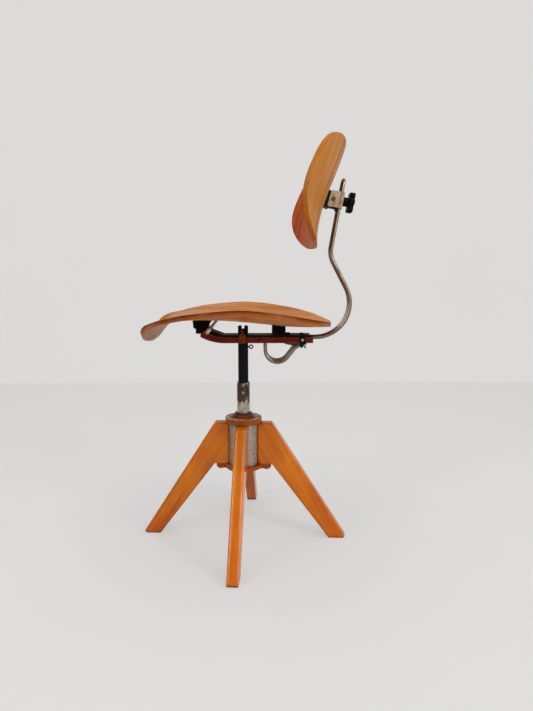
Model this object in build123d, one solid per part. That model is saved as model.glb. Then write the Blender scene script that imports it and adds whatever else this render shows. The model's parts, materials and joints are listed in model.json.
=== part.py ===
"""Swivel work chair: wooden four-leg base, sliding post, seat rail, sprung rods and tilting backrest.

Frame: millimetres, +Z up, the front of the seat towards -Y, origin on the floor under the post.
"""
from build123d import *
import os
from math import acos, cos, degrees, pi, radians, sin, tan

os.makedirs("parts", exist_ok=True)

# ---------------------------------------------------------------- clearances
RUNNING_GAP = 0.06          # radial clearance of a shaft in its bush or bore
FACE_GAP = 0.3              # clearance between faces of pieces that move on each other
HOLE_GAP = 0.15             # radial clearance round a fixed bolt or screw

# ---------------------------------------------------------------- base
BASE_TURN = -4.5            # degrees that the base stands turned under the seat
LEG_COUNT = 4
LEG_THICKNESS = 24.0
LEG_TOP_REACH = 63.0        # radius where the level top of a leg ends
LEG_CROTCH_REACH = 64.0     # radius where the underside of a leg leaves the bottom plate
FOOT_OUTER_REACH = 227.0
FOOT_INNER_REACH = 191.0
FOOT_TOE_HEIGHT = 5.0       # small upright toe at the outer tip of the foot
FOOT_TOE_SETBACK = 4.0
LEG_ROUND = 2.5             # rounding of the long edges of a leg
HUB_RADIUS = 33.0
HUB_WALL = 4.0
HUB_BOTTOM = 168.0
HUB_HEIGHT = 94.0
FLANGE_RADIUS = 40.0
FLANGE_THICKNESS = 12.0
FLANGE_ROUND = 1.5
PLATE_RADIUS = 39.0
PLATE_THICKNESS = 10.0
PLATE_ROUND = 1.5
EAR_REACH = 61.0
EAR_WIDTH = 20.0
EAR_FILLET = 9.0            # hollow rounding between the disc and an ear
LEG_SCREW_RADIUS = 3.0
LEG_SCREW_LENGTH = 42.0
LEG_SCREW_HEAD_RADIUS = 6.0
LEG_SCREW_HEAD_HEIGHT = 3.0
LEG_SCREW_REACH = 51.0      # radius of the circle of screws that come up through the ears
HUB_SCREW_LENGTH = 30.0
HUB_SCREW_DROP = 24.0       # distance of the side screws below the top of the hub

# ---------------------------------------------------------------- column
SLEEVE_RADIUS = 14.0
SLEEVE_REACH = 78.0         # how far the sleeve stands above the flange
SLEEVE_CHAMFER = 1.0
SLEEVE_FLOOR_GAP = 4.0      # distance from the bottom plate up to the end of the sleeve
POST_RADIUS = 11.0
POST_WALL = 3.0
POST_DROP_ROOM = 68.0       # free height under the post, down to the end of the sleeve
POST_RISE = 35.5            # how far the post reaches above the underside of the rail
POST_TOP_ROUND = 1.2
POST_SLOT_WIDTH = 6.5
POST_SLOT_DEPTH = 7.0
UPPER_BUSH_LENGTH = 18.0
LOWER_BUSH_HEIGHT = 18.0
COLLAR_RADIUS = 21.5
COLLAR_HEIGHT = 6.0
COLLAR_FOOT_RADIUS = 25.5
COLLAR_FOOT_HEIGHT = 2.0
LOCK_RING_RADIUS = 18.0
LOCK_RING_HEIGHT = 4.0
SNAP_RING_RADIUS = 16.5
SNAP_RING_HEIGHT = 2.0
SNAP_RING_SEAT = 0.8        # depth of the groove that the snap ring sits in
GRUB_RADIUS = 3.0
GRUB_SOCKET_WIDTH = 3.0
GRUB_SOCKET_DEPTH = 1.6
GRUB_DROPS = (6.0, 22.5)    # distances below the top of the sleeve
GRUB_TIP_GAP = 0.3          # the grub screws end just short of the post

# ---------------------------------------------------------------- rail and cover
RAIL_WIDTH = 48.0
RAIL_WALL = 2.0
RAIL_WEB = 2.5
RAIL_RISE = 87.5            # underside of the rail above the top of the sleeve
RAIL_HEIGHT = 11.5
RAIL_REAR = 150.0
RAIL_BEND_START = -38.0
RAIL_BEND_RADIUS = 107.0    # radius of the upturned front, at the underside
RAIL_BEND_ANGLE = 29.0
RAIL_CREST_START = -36.0    # the top edges of its walls turn up here
RAIL_CREST_RADIUS = 78.0
RAIL_FRONT_HEIGHT = 21.5    # the upturned walls end level this far above its underside
COVER_HEIGHT = 5.6
COVER_SHEET = 2.0
COVER_REAR_SETBACK = 6.0    # its flat top ends this far in front of the rail's rear end
COVER_REAR_SLOPE = 7.0      # length of the sloped rear lip of the cover
HOOD_FOOT = -41.0           # where the cover starts to rise towards the front pad
HOOD_FRONT = -80.0          # where it meets the underside of that pad
TONGUE_WIDTH = 27.0
TONGUE_SHEET = 2.5
TONGUE_LENGTH = 23.0
PAD_RISE = 32.1             # underside of the front pad above that of the rail
SOCKET_RADIUS = 16.0
WEDGE_WIDTH = 5.2
WEDGE_THICKNESS = 3.0
WEDGE_LENGTH = 25.5
WEDGE_RISE = 1.5            # foot of the wedge above the underside of the rail
WEDGE_PLACE = -1.2
STRAP_WIDTH = 3.6
STRAP_SHEET = 1.0
STRAP_PITCH = 9.0
STRAP_LENGTH = 19.0
COVER_SCREW_RADIUS = 3.0
COVER_SCREW_HEAD_RADIUS = 5.0
COVER_SCREW_HEAD_HEIGHT = 3.8
COVER_SCREW_SETBACK = 30.0  # distance of the cover screw in front of the clamp bolt
SPACER_RADIUS = 5.0
EYE_SCREW_DROP = 10.5       # distance of the eye screw below the rail
EYE_RING_RADIUS = 3.7
EYE_WIRE_RADIUS = 1.4
EYE_SHANK_RADIUS = 2.0
EYE_STAND_OFF = 1.2         # gap between the post and the ring of the eye screw

# ---------------------------------------------------------------- seat
SEAT_THICKNESS = 9.5
SEAT_OUTLINE = (            # half outline of the seat in plan, front to back
    (0.0, -200.5), (50.0, -200.5), (86.0, -203.0), (111.5, -192.0), (117.0, -180.0), (122.0, -149.0),
    (146.5, -137.5), (169.5, -123.0), (194.0, -102.5), (212.0, -72.0), (218.0, -36.0), (218.5, 8.0),
    (215.0, 50.0), (205.0, 90.0), (184.0, 127.0), (150.0, 155.0), (104.0, 172.0), (52.0, 183.0), (0.0, 187.5),
)
SEAT_CENTRE_LINE = (        # upper face along the middle of the seat, above the underside of the rail
    (-214.0, 4.0), (-200.0, 14.2), (-185.0, 23.1), (-170.0, 43.3), (-155.0, 52.9), (-135.0, 58.7), (-110.0, 62.0),
    (-60.0, 60.0), (0.0, 55.5), (58.0, 49.5), (102.0, 45.8), (145.0, 45.3), (195.0, 47.0),
)
SEAT_DISH = (               # cross curvature of the upper face, in 1/m: height = this * x * x
    (-214.0, 2.32), (-200.0, 2.3), (-185.0, 2.0), (-170.0, 0.84), (-155.0, 0.4), (-135.0, 0.22),
    (-110.0, 0.21), (-60.0, 0.34), (0.0, 0.5), (58.0, 0.55), (102.0, 0.55), (145.0, 0.5), (195.0, 0.5),
)
SEAT_SKEW = (               # the pressed lip stands a little askew: height = this * x
    (-214.0, -0.019), (-175.0, -0.019), (-145.0, -0.0095), (-115.0, 0.0), (195.0, 0.0),
)
PAD_HALF_WIDTH = 24.0
FRONT_PAD_LIP = 1.4         # how far the pad reaches in front of the tongue
FRONT_PAD_SETBACK = 6.0     # its rear face stands this far behind the front of the hood
FRONT_PAD_FLARE = 2.2       # how much further forward the pad reaches at the seat
FRONT_PAD_LEAN = 15.0       # and how much further back
FRONT_PAD_HEEL = 5.5        # height of the upright foot of its rear face
REAR_PAD_LENGTH = 28.0
REAR_PAD_GAP = 6.0          # from the pad back to the middle of the cover screw
PAD_PLATE_INSET = 3.5
PAD_SCREW_RADIUS = 2.5
PAD_SCREW_HEAD_RADIUS = 4.5
PAD_SCREW_HEAD_HEIGHT = 2.4
PAD_SCREW_BITE = 6.0        # how deep the screws run into the seat
FRONT_SCREW_SPREAD = 10.0
FRONT_SCREW_INSET = 7.0
REAR_SCREW_INSET = 7.0
STUD_RADIUS = 2.9
STUD_SIDE_GAP = 0.5         # gap between the nuts and the side of the rail
STUD_SETBACK = 3.7          # the tie studs leave the lugs on the rail this far behind the hood
STUD_RISE = 22.3            # and this far above the underside of the rail
STUD_BELOW = 3.5            # the studs end this far below
STUD_ABOVE = 45.0           # and run up from there to the seat
STUD_LEAN = 51.4            # degrees above level
STUD_NUT_RADIUS = 4.8
STUD_NUT_HEIGHTS = (7.0, 4.0)
STUD_NUT_ROUND = 0.4
LUG_SHEET = 2.2
LUG_LENGTH = 9.0
LUG_DROP = 1.5              # distance of the lug's middle from the stud, down the rail's side

# ---------------------------------------------------------------- sprung rods
ROD_RADIUS = 3.75
ROD_RISE = 8.5              # the level run's middle above the floor of the rail
ROD_SPREAD_FRONT = 17.5     # half spacing at the loop
ROD_SPREAD_REAR = 11.0      # half spacing at the backrest
ROD_JOG = (31.0, 5.0)       # the strands close in between these distances in front of the bolt
ROD_JOG_BEND = 40.0
ROD_END_SETBACK = 9.0       # the strands end this far in front of the clamp bolt
ROD_END_DROP = 3.1          # with their middle this far below the rail
ROD_TOP_BEND = 10.0
LOOP_SETBACK = 79.0         # the strands come down through the rail this far in front of the bolt
LOOP_RADIUS = 26.2
LOOP_TOP_RADIUS = 8.0
LOOP_LEAN = 51.5            # degrees above level of the strands that climb to the clamp
BOW_RADIUS = 72.5
BOW_SETBACK = 7.0           # the bow starts this far behind the rail
BOW_LEAN = 28.0             # degrees forward of upright above the bow
KNEE_RADIUS = 50.0
ROD_LEAN = 9.9              # degrees backward of upright along the straight top
ROD_LINE_SHIFT = 31.6       # the straight top's line passes this far behind the start of the bow
ROD_LINE_RISE = 195.5       # at this height above the level run
ROD_TIP_RISE = 332.5
DEPTH_FORWARD = 8.0         # travel of the rods in the rail
DEPTH_BACKWARD = 8.0
GUIDE_LENGTH = 8.0
FRONT_GUIDE_SETBACK = 24.0  # middle of the front guide, behind the loop
REAR_GUIDE_SETBACK = 7.0    # middle of the rear guide, in front of the rail's rear end
GUIDE_SPREADS = (ROD_SPREAD_FRONT, ROD_SPREAD_REAR)
SLOT_MARGIN = 1.0

# ---------------------------------------------------------------- rod clamp
SHOE_LENGTH = 47.0
SHOE_TAIL_LENGTH = 9.0      # how far it reaches behind the clamp bolt
SHOE_DEPTH = 6.0            # greatest height of the shoe
SHOE_NOSE = 1.2             # height of its front edge
SHOE_KNEE = (15.0, 11.0)    # it is deepest between these two distances in front of the bolt
SHOE_TAIL = 3.2             # height of the flat plate behind them
CLAMP_SETBACK = 23.0        # side straps and clamp bolt, in front of the rail's rear end
STRAP_PLATE = 2.0           # thickness of the side straps
STRAP_PLATE_WIDTH = 11.0
STRAP_PLATE_DROP = 1.0      # distance of their tops below the top of the cover
CLAMP_BOLT_RADIUS = 3.0
CLAMP_HEAD_RADIUS = 4.3
CLAMP_HEAD_HEIGHT = 2.6
WING_HUB_RADIUS = 4.5
WING_HUB_LENGTH = 6.0
WING_SPAN = 10.5
WING_SHEET = 2.6
WING_DROP = 4.5             # how far the tips reach below the hub
LOCK_SCREW_RADIUS = 2.0
LOCK_SCREW_HEAD_RADIUS = 2.8
LOCK_SCREW_HEAD_HEIGHT = 1.6
LOCK_SCREW_RISE = 7.0       # above the underside of the rail

# ---------------------------------------------------------------- backrest bracket
BRACKET_RISE = 286.5        # the bracket's middle above the level run
BRACKET_SHEET = 2.0
BRACKET_HALF_HEIGHT = 16.5
BRACKET_FRONT_LOW = -25.6
BRACKET_FRONT_HIGH = -22.1
BRACKET_CORNER = 3.0
PIN_RADIUS = 3.0
PIN_PLACE = -15.6
PIN_HEAD_RADIUS = 4.4
PIN_HEAD_HEIGHT = 1.6
PIN_HOLLOW_RADIUS = 1.8     # the pin is a tubular rivet, open at both ends
PIN_HOLLOW_DEPTH = 6.0
SADDLE_DEPTH = 5.0
SADDLE_TOP = 13.0
SADDLE_DROP = 20.5
KNOB_STUD_RADIUS = 4.0
KNOB_NECK_RADIUS = 9.5
KNOB_NECK_LENGTH = 11.0
KNOB_HEAD_THICKNESS = 12.0
KNOB_CORE_RADIUS = 15.5
KNOB_LOBE_RADIUS = 6.0
KNOB_LOBE_PITCH = 16.5
KNOB_LOBES = 6
KNOB_ROUND = 2.0

# ---------------------------------------------------------------- backrest panel
PANEL_THICKNESS = 9.0
PANEL_SETBACK = 22.5        # middle of its front face in front of the pivot
PANEL_RISE = 4.1            # and above it
PANEL_LEAN = 20.2
PANEL_ROLL = 2.5            # the panel is screwed on a little askew
PANEL_SWING = 1.3
PANEL_HALF_WIDTH = 178.0
PANEL_HALF_HEIGHT = 105.0
PANEL_POWER = 2.72          # roundness of the outline: 2 is an ellipse
PANEL_DROOP = 0.124         # how much the outline bends down or up towards the wings
PANEL_TAPER = 0.038         # how much narrower the top is
PANEL_SHOULDER = 0.046      # how much fuller the corners are
PANEL_WRAP_RADIUS = 342.0   # the panel wraps round the sitter
PANEL_ROLL_RADIUS = 574.0   # and curves back above and below the middle
PANEL_TWIST = 7.3           # cubic part of that upright curve, in 1/m2
BLOCK_HALF_WIDTH = 15.0
BLOCK_ABOVE = 14.0          # how far the block reaches above the pin
BLOCK_BELOW = 20.5          # and below it
BLOCK_REAR = 3.0            # distance in front of the pin where the block's flat rear ends
KNUCKLE_RADIUS = 5.6
BACK_SCREW_PLACES = (-14.0, 9.2)
BACK_SCREW_RADIUS = 2.5
BACK_SCREW_HEAD_RADIUS = 4.5
BACK_SCREW_HEAD_HEIGHT = 2.2
BACK_SCREW_LENGTH = 17.0

GRID_STEPS = 24             # spans of the grid that a moulded face is fitted through
RIM_STEPS = 32              # points that the outline of the backrest runs through
EDGE_MARGIN = 4.0           # how far the fitted grid reaches past the outline
MM_PER_M = 1000.0

# ---------------------------------------------------------------- heights and places that follow
HUB_TOP = HUB_BOTTOM + HUB_HEIGHT
FLANGE_TOP = HUB_TOP + FLANGE_THICKNESS
COLLAR_TOP = FLANGE_TOP + COLLAR_HEIGHT
PLATE_BOTTOM = HUB_BOTTOM - PLATE_THICKNESS
SLEEVE_BOTTOM = HUB_BOTTOM + SLEEVE_FLOOR_GAP
SLEEVE_TOP = FLANGE_TOP + SLEEVE_REACH
GRUB_HEIGHTS = tuple(SLEEVE_TOP - drop for drop in GRUB_DROPS)
POST_BOTTOM = SLEEVE_BOTTOM + POST_DROP_ROOM
RAIL_BOTTOM = SLEEVE_TOP + RAIL_RISE
RAIL_TOP = RAIL_BOTTOM + RAIL_HEIGHT
RAIL_FRONT_TOP = RAIL_BOTTOM + RAIL_FRONT_HEIGHT
POST_TOP = RAIL_BOTTOM + POST_RISE
PAD_BOTTOM = RAIL_BOTTOM + PAD_RISE
WEDGE_FOOT = RAIL_BOTTOM + WEDGE_RISE
STUD_FOOT = (HOOD_FRONT + STUD_SETBACK, RAIL_BOTTOM + STUD_RISE)
EYE_SCREW_HEIGHT = RAIL_BOTTOM - EYE_SCREW_DROP
LOCK_SCREW_HEIGHT = RAIL_BOTTOM + LOCK_SCREW_RISE
COVER_REAR = RAIL_REAR - COVER_REAR_SETBACK
CLAMP_PLACE = RAIL_REAR - CLAMP_SETBACK
COVER_SCREW_PLACE = CLAMP_PLACE - COVER_SCREW_SETBACK
SHOE_REAR = CLAMP_PLACE + SHOE_TAIL_LENGTH
SHOE_FRONT = SHOE_REAR - SHOE_LENGTH
BOW_START = RAIL_REAR + BOW_SETBACK
LOOP_FRONT = CLAMP_PLACE - LOOP_SETBACK
GUIDE_PLACES = (LOOP_FRONT + FRONT_GUIDE_SETBACK, RAIL_REAR - REAR_GUIDE_SETBACK)
REAR_PAD_REAR = COVER_SCREW_PLACE - REAR_PAD_GAP
REAR_PAD_FRONT = REAR_PAD_REAR - REAR_PAD_LENGTH
REAR_SCREW_PLACES = (REAR_PAD_FRONT + REAR_SCREW_INSET, REAR_PAD_REAR - REAR_SCREW_INSET)
TONGUE_FRONT = HOOD_FRONT - TONGUE_LENGTH
FRONT_PAD_FRONT = TONGUE_FRONT - FRONT_PAD_LIP
FRONT_PAD_REAR = HOOD_FRONT + FRONT_PAD_SETBACK
PAD_PLATE_FRONT = TONGUE_FRONT + PAD_PLATE_INSET
FRONT_SCREW_PLACE = TONGUE_FRONT + FRONT_SCREW_INSET
RAIL_FLOOR = RAIL_BOTTOM + RAIL_WEB
COVER_TOP = RAIL_TOP + COVER_HEIGHT
COVER_CEILING = COVER_TOP - COVER_SHEET
CAVITY_WIDTH = RAIL_WIDTH - 2 * RAIL_WALL
ROD_HEIGHT = RAIL_FLOOR + ROD_RISE
ROD_END = (CLAMP_PLACE - ROD_END_SETBACK, RAIL_BOTTOM - ROD_END_DROP)
ROD_LINE = (BOW_START + ROD_LINE_SHIFT, ROD_HEIGHT + ROD_LINE_RISE)
ROD_TIP = ROD_HEIGHT + ROD_TIP_RISE
BRACKET_HEIGHT = ROD_HEIGHT + BRACKET_RISE


# ================================================================ helpers
def cylinder(radius, bottom, top):
    """Upright round bar on the origin's axis."""
    return Pos(0, 0, bottom) * Cylinder(radius, top - bottom, align=(Align.CENTER, Align.CENTER, Align.MIN))


def ring(outer, inner, bottom, top):
    """Upright tube on the origin's axis."""
    return cylinder(outer, bottom, top) - cylinder(inner, bottom - 1, top + 1)


def block(x, y, z):
    """Box between pairs of limits."""
    size = (x[1] - x[0], y[1] - y[0], z[1] - z[0])
    return Pos((x[0] + x[1]) / 2, (y[0] + y[1]) / 2, (z[0] + z[1]) / 2) * Box(*size)


def side_slab(points, half_width):
    """Slab across X whose side outline is the closed chain of (y, z) points."""
    return extrude(Plane.YZ * make_face(Polyline(*points, close=True)), amount=half_width, both=True)


def bar(radius, start, end):
    """Round bar between two points."""
    start = Vector(*start)
    line = Vector(*end) - start
    plane = Plane(origin=start, z_dir=line)
    return plane * Cylinder(radius, line.length, align=(Align.CENTER, Align.CENTER, Align.MIN))


def turned(shape, angle):
    """The shape turned about the column's axis."""
    return Rot(0, 0, angle) * shape


def curve_value(points, y):
    """Smooth curve through (place, value) points: cubic pieces that share their slopes."""
    places = [p[0] for p in points]
    values = [p[1] for p in points]
    slopes = [(b - a) / (q - p) for p, q, a, b in zip(places, places[1:], values, values[1:])]
    ends = [slopes[0]] + [(a + b) / 2 for a, b in zip(slopes, slopes[1:])] + [slopes[-1]]
    y = min(max(y, places[0]), places[-1])
    i = max(k for k in range(len(slopes)) if places[k] <= y)
    span = places[i + 1] - places[i]
    t = (y - places[i]) / span
    rise = (3 - 2 * t) * t * t
    return (
        values[i] * (1 - rise)
        + values[i + 1] * rise
        + span * t * (1 - t) * (ends[i] * (1 - t) - ends[i + 1] * t)
    )


def moulded_sheet(height_at, half_width, front, rear, outline_prism, thickness, direction):
    """Sheet of even thickness: a fitted face, trimmed to an outline and thickened."""
    grid = []
    for i in range(GRID_STEPS + 1):
        x = half_width * (2 * i / GRID_STEPS - 1)
        ys = [front + (rear - front) * j / GRID_STEPS for j in range(GRID_STEPS + 1)]
        grid.append([Vector(x, y, height_at(x, y)) for y in ys])
    face = Face.make_surface_from_array_of_points(grid, tol=0.05)
    trimmed = (face & outline_prism).faces()[0]
    return Solid.thicken(trimmed, thickness, normal_override=direction)


# ================================================================ base
def rounded_path(corners, radii):
    """Straight runs joined by tangent arcs: one radius for every inner corner."""
    corners = [Vector(*c) for c in corners]
    edges = []
    start = corners[0]
    for before, corner, after, radius in zip(corners, corners[1:], corners[2:], radii):
        inward = (before - corner).normalized()
        outward = (after - corner).normalized()
        half = radians(inward.get_angle(outward)) / 2
        leg = radius / tan(half)
        bisector = (inward + outward).normalized()
        first = corner + inward * leg
        last = corner + outward * leg
        middle = corner + bisector * (radius / sin(half) - radius)
        edges += [Edge.make_line(start, first), Edge.make_three_point_arc(first, middle, last)]
        start = last
    return Wire(edges + [Edge.make_line(start, corners[-1])])


def leg_blank():
    """One plank leg standing along +X."""
    points = (
        (0, HUB_BOTTOM), (0, HUB_TOP), (LEG_TOP_REACH, HUB_TOP), (FOOT_OUTER_REACH, FOOT_TOE_HEIGHT),
        (FOOT_OUTER_REACH - FOOT_TOE_SETBACK, 0), (FOOT_INNER_REACH, 0), (LEG_CROTCH_REACH, HUB_BOTTOM),
    )
    plank = extrude(Plane.XZ * make_face(Polyline(*points, close=True)), amount=LEG_THICKNESS / 2, both=True)
    long_edges = [e for e in plank.edges() if abs(e.center().Y) > LEG_THICKNESS / 2 - LEG_ROUND / 2]
    plank = fillet([e for e in long_edges if e.center().X > HUB_RADIUS / 2], LEG_ROUND)
    return plank - cylinder(HUB_RADIUS, PLATE_BOTTOM, FLANGE_TOP)


def ear_screw():
    """Countersunk-head screw that comes up through an ear into the shoulder of a leg."""
    head = cylinder(LEG_SCREW_HEAD_RADIUS, PLATE_BOTTOM - LEG_SCREW_HEAD_HEIGHT, PLATE_BOTTOM)
    shank = cylinder(LEG_SCREW_RADIUS, PLATE_BOTTOM, PLATE_BOTTOM + LEG_SCREW_LENGTH)
    return Pos(LEG_SCREW_REACH, 0, 0) * (head + shank)


def hub_screw():
    """Screw that runs outwards from inside the hub into a leg."""
    height = HUB_TOP - HUB_SCREW_DROP
    inner = HUB_RADIUS - HUB_WALL
    head = bar(PAD_SCREW_HEAD_RADIUS, (inner - PAD_SCREW_HEAD_HEIGHT, 0, height), (inner, 0, height))
    seat_cut = cylinder(inner, HUB_BOTTOM, HUB_TOP)
    shank = bar(LEG_SCREW_RADIUS, (inner - PAD_SCREW_HEAD_HEIGHT, 0, height),
                (inner + HUB_SCREW_LENGTH, 0, height))
    return (head & seat_cut) + shank


def four(shape):
    """The shape repeated round the column, one for each leg."""
    return [turned(shape, BASE_TURN + 360 / LEG_COUNT * k) for k in range(LEG_COUNT)]


ear_screws = four(ear_screw())
hub_screws = four(hub_screw())
legs = [leg - screw - side for leg, screw, side in zip(four(leg_blank()), ear_screws, hub_screws)]

hub_tube = ring(HUB_RADIUS, HUB_RADIUS - HUB_WALL, HUB_BOTTOM, HUB_TOP)
for screw in hub_screws:
    hub_tube -= screw

top_flange = cylinder(FLANGE_RADIUS, HUB_TOP, FLANGE_TOP)
top_flange = fillet(top_flange.edges(), FLANGE_ROUND)
top_flange -= cylinder(SLEEVE_RADIUS + FACE_GAP, PLATE_BOTTOM, SLEEVE_TOP)

plate_face = Circle(PLATE_RADIUS) + [
    Rot(0, 0, 360 / LEG_COUNT * k) * (
        Pos(EAR_REACH / 2 - EAR_WIDTH / 4, 0) * Rectangle(EAR_REACH - EAR_WIDTH / 2, EAR_WIDTH)
        + Pos(EAR_REACH - EAR_WIDTH / 2, 0) * Circle(EAR_WIDTH / 2)
    )
    for k in range(LEG_COUNT)
]
inner_corners = [v for v in plate_face.vertices() if abs(Vector(v.X, v.Y, 0).length - PLATE_RADIUS) < FACE_GAP]
plate_face = fillet(inner_corners, EAR_FILLET)
bottom_plate = Pos(0, 0, PLATE_BOTTOM) * extrude(plate_face, amount=PLATE_THICKNESS)
bottom_plate = fillet(bottom_plate.faces().sort_by(Axis.Z)[0].edges(), PLATE_ROUND)
bottom_plate = turned(bottom_plate, BASE_TURN)
for screw in ear_screws:
    bottom_plate -= screw

upper_bush = ring(HUB_RADIUS - HUB_WALL, SLEEVE_RADIUS + RUNNING_GAP, HUB_TOP - UPPER_BUSH_LENGTH, HUB_TOP)
lower_bush = ring(HUB_RADIUS - HUB_WALL, SLEEVE_RADIUS + RUNNING_GAP, HUB_BOTTOM, HUB_BOTTOM + LOWER_BUSH_HEIGHT)
bearing_collar = (
    ring(COLLAR_FOOT_RADIUS, SLEEVE_RADIUS + RUNNING_GAP, FLANGE_TOP, FLANGE_TOP + COLLAR_FOOT_HEIGHT)
    + ring(COLLAR_RADIUS, SLEEVE_RADIUS + RUNNING_GAP, FLANGE_TOP, COLLAR_TOP)
)


# ================================================================ turning sleeve
def grub_screw(height):
    """Slotted grub screw through the wall of the sleeve."""
    tip = POST_RADIUS + GRUB_TIP_GAP
    screw = bar(GRUB_RADIUS, (tip, 0, height), (SLEEVE_RADIUS, 0, height))
    slot = block((SLEEVE_RADIUS - GRUB_SOCKET_DEPTH, SLEEVE_RADIUS + 1), (-GRUB_RADIUS, GRUB_RADIUS),
                 (height - GRUB_SOCKET_WIDTH / 4, height + GRUB_SOCKET_WIDTH / 4))
    return screw - slot


grub_screws = [grub_screw(height) for height in GRUB_HEIGHTS]
ring_top = HUB_TOP - UPPER_BUSH_LENGTH - FACE_GAP
snap_ring = ring(SNAP_RING_RADIUS, SLEEVE_RADIUS - SNAP_RING_SEAT, ring_top - SNAP_RING_HEIGHT, ring_top)
sleeve = chamfer(cylinder(SLEEVE_RADIUS, SLEEVE_BOTTOM, SLEEVE_TOP).edges().sort_by(Axis.Z)[-1], SLEEVE_CHAMFER)
sleeve -= cylinder(POST_RADIUS + RUNNING_GAP, HUB_BOTTOM, SLEEVE_TOP + 1)
sleeve -= snap_ring
for height in GRUB_HEIGHTS:
    sleeve -= bar(GRUB_RADIUS, (0, 0, height), (SLEEVE_RADIUS + 1, 0, height))
lock_ring = ring(LOCK_RING_RADIUS, SLEEVE_RADIUS, COLLAR_TOP + FACE_GAP, COLLAR_TOP + LOCK_RING_HEIGHT)


# ================================================================ seat
def moulded_outline():
    """Closed plan outline of the seat."""
    return make_face(Spline(*SEAT_OUTLINE, *[(-x, y) for x, y in SEAT_OUTLINE[-2:0:-1]], periodic=True))


def seat_height(x, y):
    """Height of the seat's upper face."""
    dish = curve_value(SEAT_DISH, y) / MM_PER_M
    return RAIL_BOTTOM + curve_value(SEAT_CENTRE_LINE, y) + curve_value(SEAT_SKEW, y) * x + dish * x * x


def under_seat(y):
    """Height of the seat's underside on its middle line."""
    return seat_height(0, y) - SEAT_THICKNESS


def seat_sheet():
    """Moulded plywood seat with dished middle, raised sides and a rolled-down front lip."""
    widest = max(x for x, _ in SEAT_OUTLINE) + EDGE_MARGIN
    front = SEAT_OUTLINE[0][1] - EDGE_MARGIN
    rear = SEAT_OUTLINE[-1][1] + EDGE_MARGIN
    prism = extrude(moulded_outline(), amount=POST_TOP * 2)
    return moulded_sheet(seat_height, widest, front, rear, prism, SEAT_THICKNESS, (0, 0, -1))


# ================================================================ rail
def rail_side(inset):
    """Side outline of the channel with its underside raised by the inset."""
    centre = Vector(RAIL_BEND_START, RAIL_BOTTOM + RAIL_BEND_RADIUS)

    def on_arc(radius, angle):
        return (centre.X - radius * sin(radians(angle)), centre.Y - radius * cos(radians(angle)))

    def on_crest(angle):
        drop = 1 - cos(radians(angle))
        reach = RAIL_CREST_RADIUS * sin(radians(angle))
        return (RAIL_CREST_START - reach, RAIL_TOP + RAIL_CREST_RADIUS * drop)

    low = RAIL_BEND_RADIUS - inset
    tip = on_arc(low, RAIL_BEND_ANGLE)
    crest = degrees(acos(1 - (RAIL_FRONT_TOP - RAIL_TOP) / RAIL_CREST_RADIUS))
    lines = [
        Line((RAIL_REAR, RAIL_BOTTOM + inset), on_arc(low, 0)),
        ThreePointArc(on_arc(low, 0), on_arc(low, RAIL_BEND_ANGLE / 2), tip),
        Line(tip, (tip[0], RAIL_FRONT_TOP)),
        Line((tip[0], RAIL_FRONT_TOP), on_crest(crest)),
        ThreePointArc(on_crest(crest), on_crest(crest / 2), on_crest(0)),
        Line(on_crest(0), (RAIL_REAR, RAIL_TOP)),
        Line((RAIL_REAR, RAIL_TOP), (RAIL_REAR, RAIL_BOTTOM + inset)),
    ]
    return make_face(Wire([edge for line in lines for edge in line.edges()]))


def side_face(face, half_width):
    """Solid across X from a face drawn in (y, z)."""
    return extrude(Plane.YZ * face, amount=half_width, both=True)


rail = side_face(rail_side(0), RAIL_WIDTH / 2)
rail -= side_face(rail_side(RAIL_WEB), CAVITY_WIDTH / 2)
rail -= block((-CAVITY_WIDTH / 2, CAVITY_WIDTH / 2), (RAIL_BEND_START, RAIL_REAR + 1),
              (RAIL_FLOOR, RAIL_TOP + 1))
slot_front = LOOP_FRONT - ROD_RADIUS - DEPTH_FORWARD - SLOT_MARGIN
slot_rear = LOOP_FRONT + ROD_RADIUS + DEPTH_BACKWARD + SLOT_MARGIN
slot_half = ROD_RADIUS + SLOT_MARGIN
for side in (-1, 1):
    middle = side * ROD_SPREAD_FRONT
    rail -= block((middle - slot_half, middle + slot_half), (slot_front, slot_rear), (HUB_TOP, RAIL_FLOOR + 1))

# ---------------------------------------------------------------- cover with its tongue
cover_side = [
    (HOOD_FRONT, RAIL_TOP), (HOOD_FRONT, PAD_BOTTOM), (HOOD_FOOT, COVER_TOP), (COVER_REAR, COVER_TOP),
    (COVER_REAR + COVER_REAR_SLOPE, RAIL_TOP),
]
cavity_side = [
    (HOOD_FRONT, RAIL_BOTTOM), (HOOD_FRONT, PAD_BOTTOM - TONGUE_SHEET), (HOOD_FOOT, COVER_CEILING),
    (COVER_REAR + COVER_REAR_SLOPE, COVER_CEILING), (COVER_REAR + COVER_REAR_SLOPE, RAIL_BOTTOM),
]
cover = side_slab(cover_side, RAIL_WIDTH / 2) - side_slab(cavity_side, CAVITY_WIDTH / 2)
cover -= side_face(rail_side(0), RAIL_WIDTH / 2)
cover += block((-TONGUE_WIDTH / 2, TONGUE_WIDTH / 2), (TONGUE_FRONT, HOOD_FRONT + TONGUE_SHEET),
               (PAD_BOTTOM - TONGUE_SHEET, PAD_BOTTOM))

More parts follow.
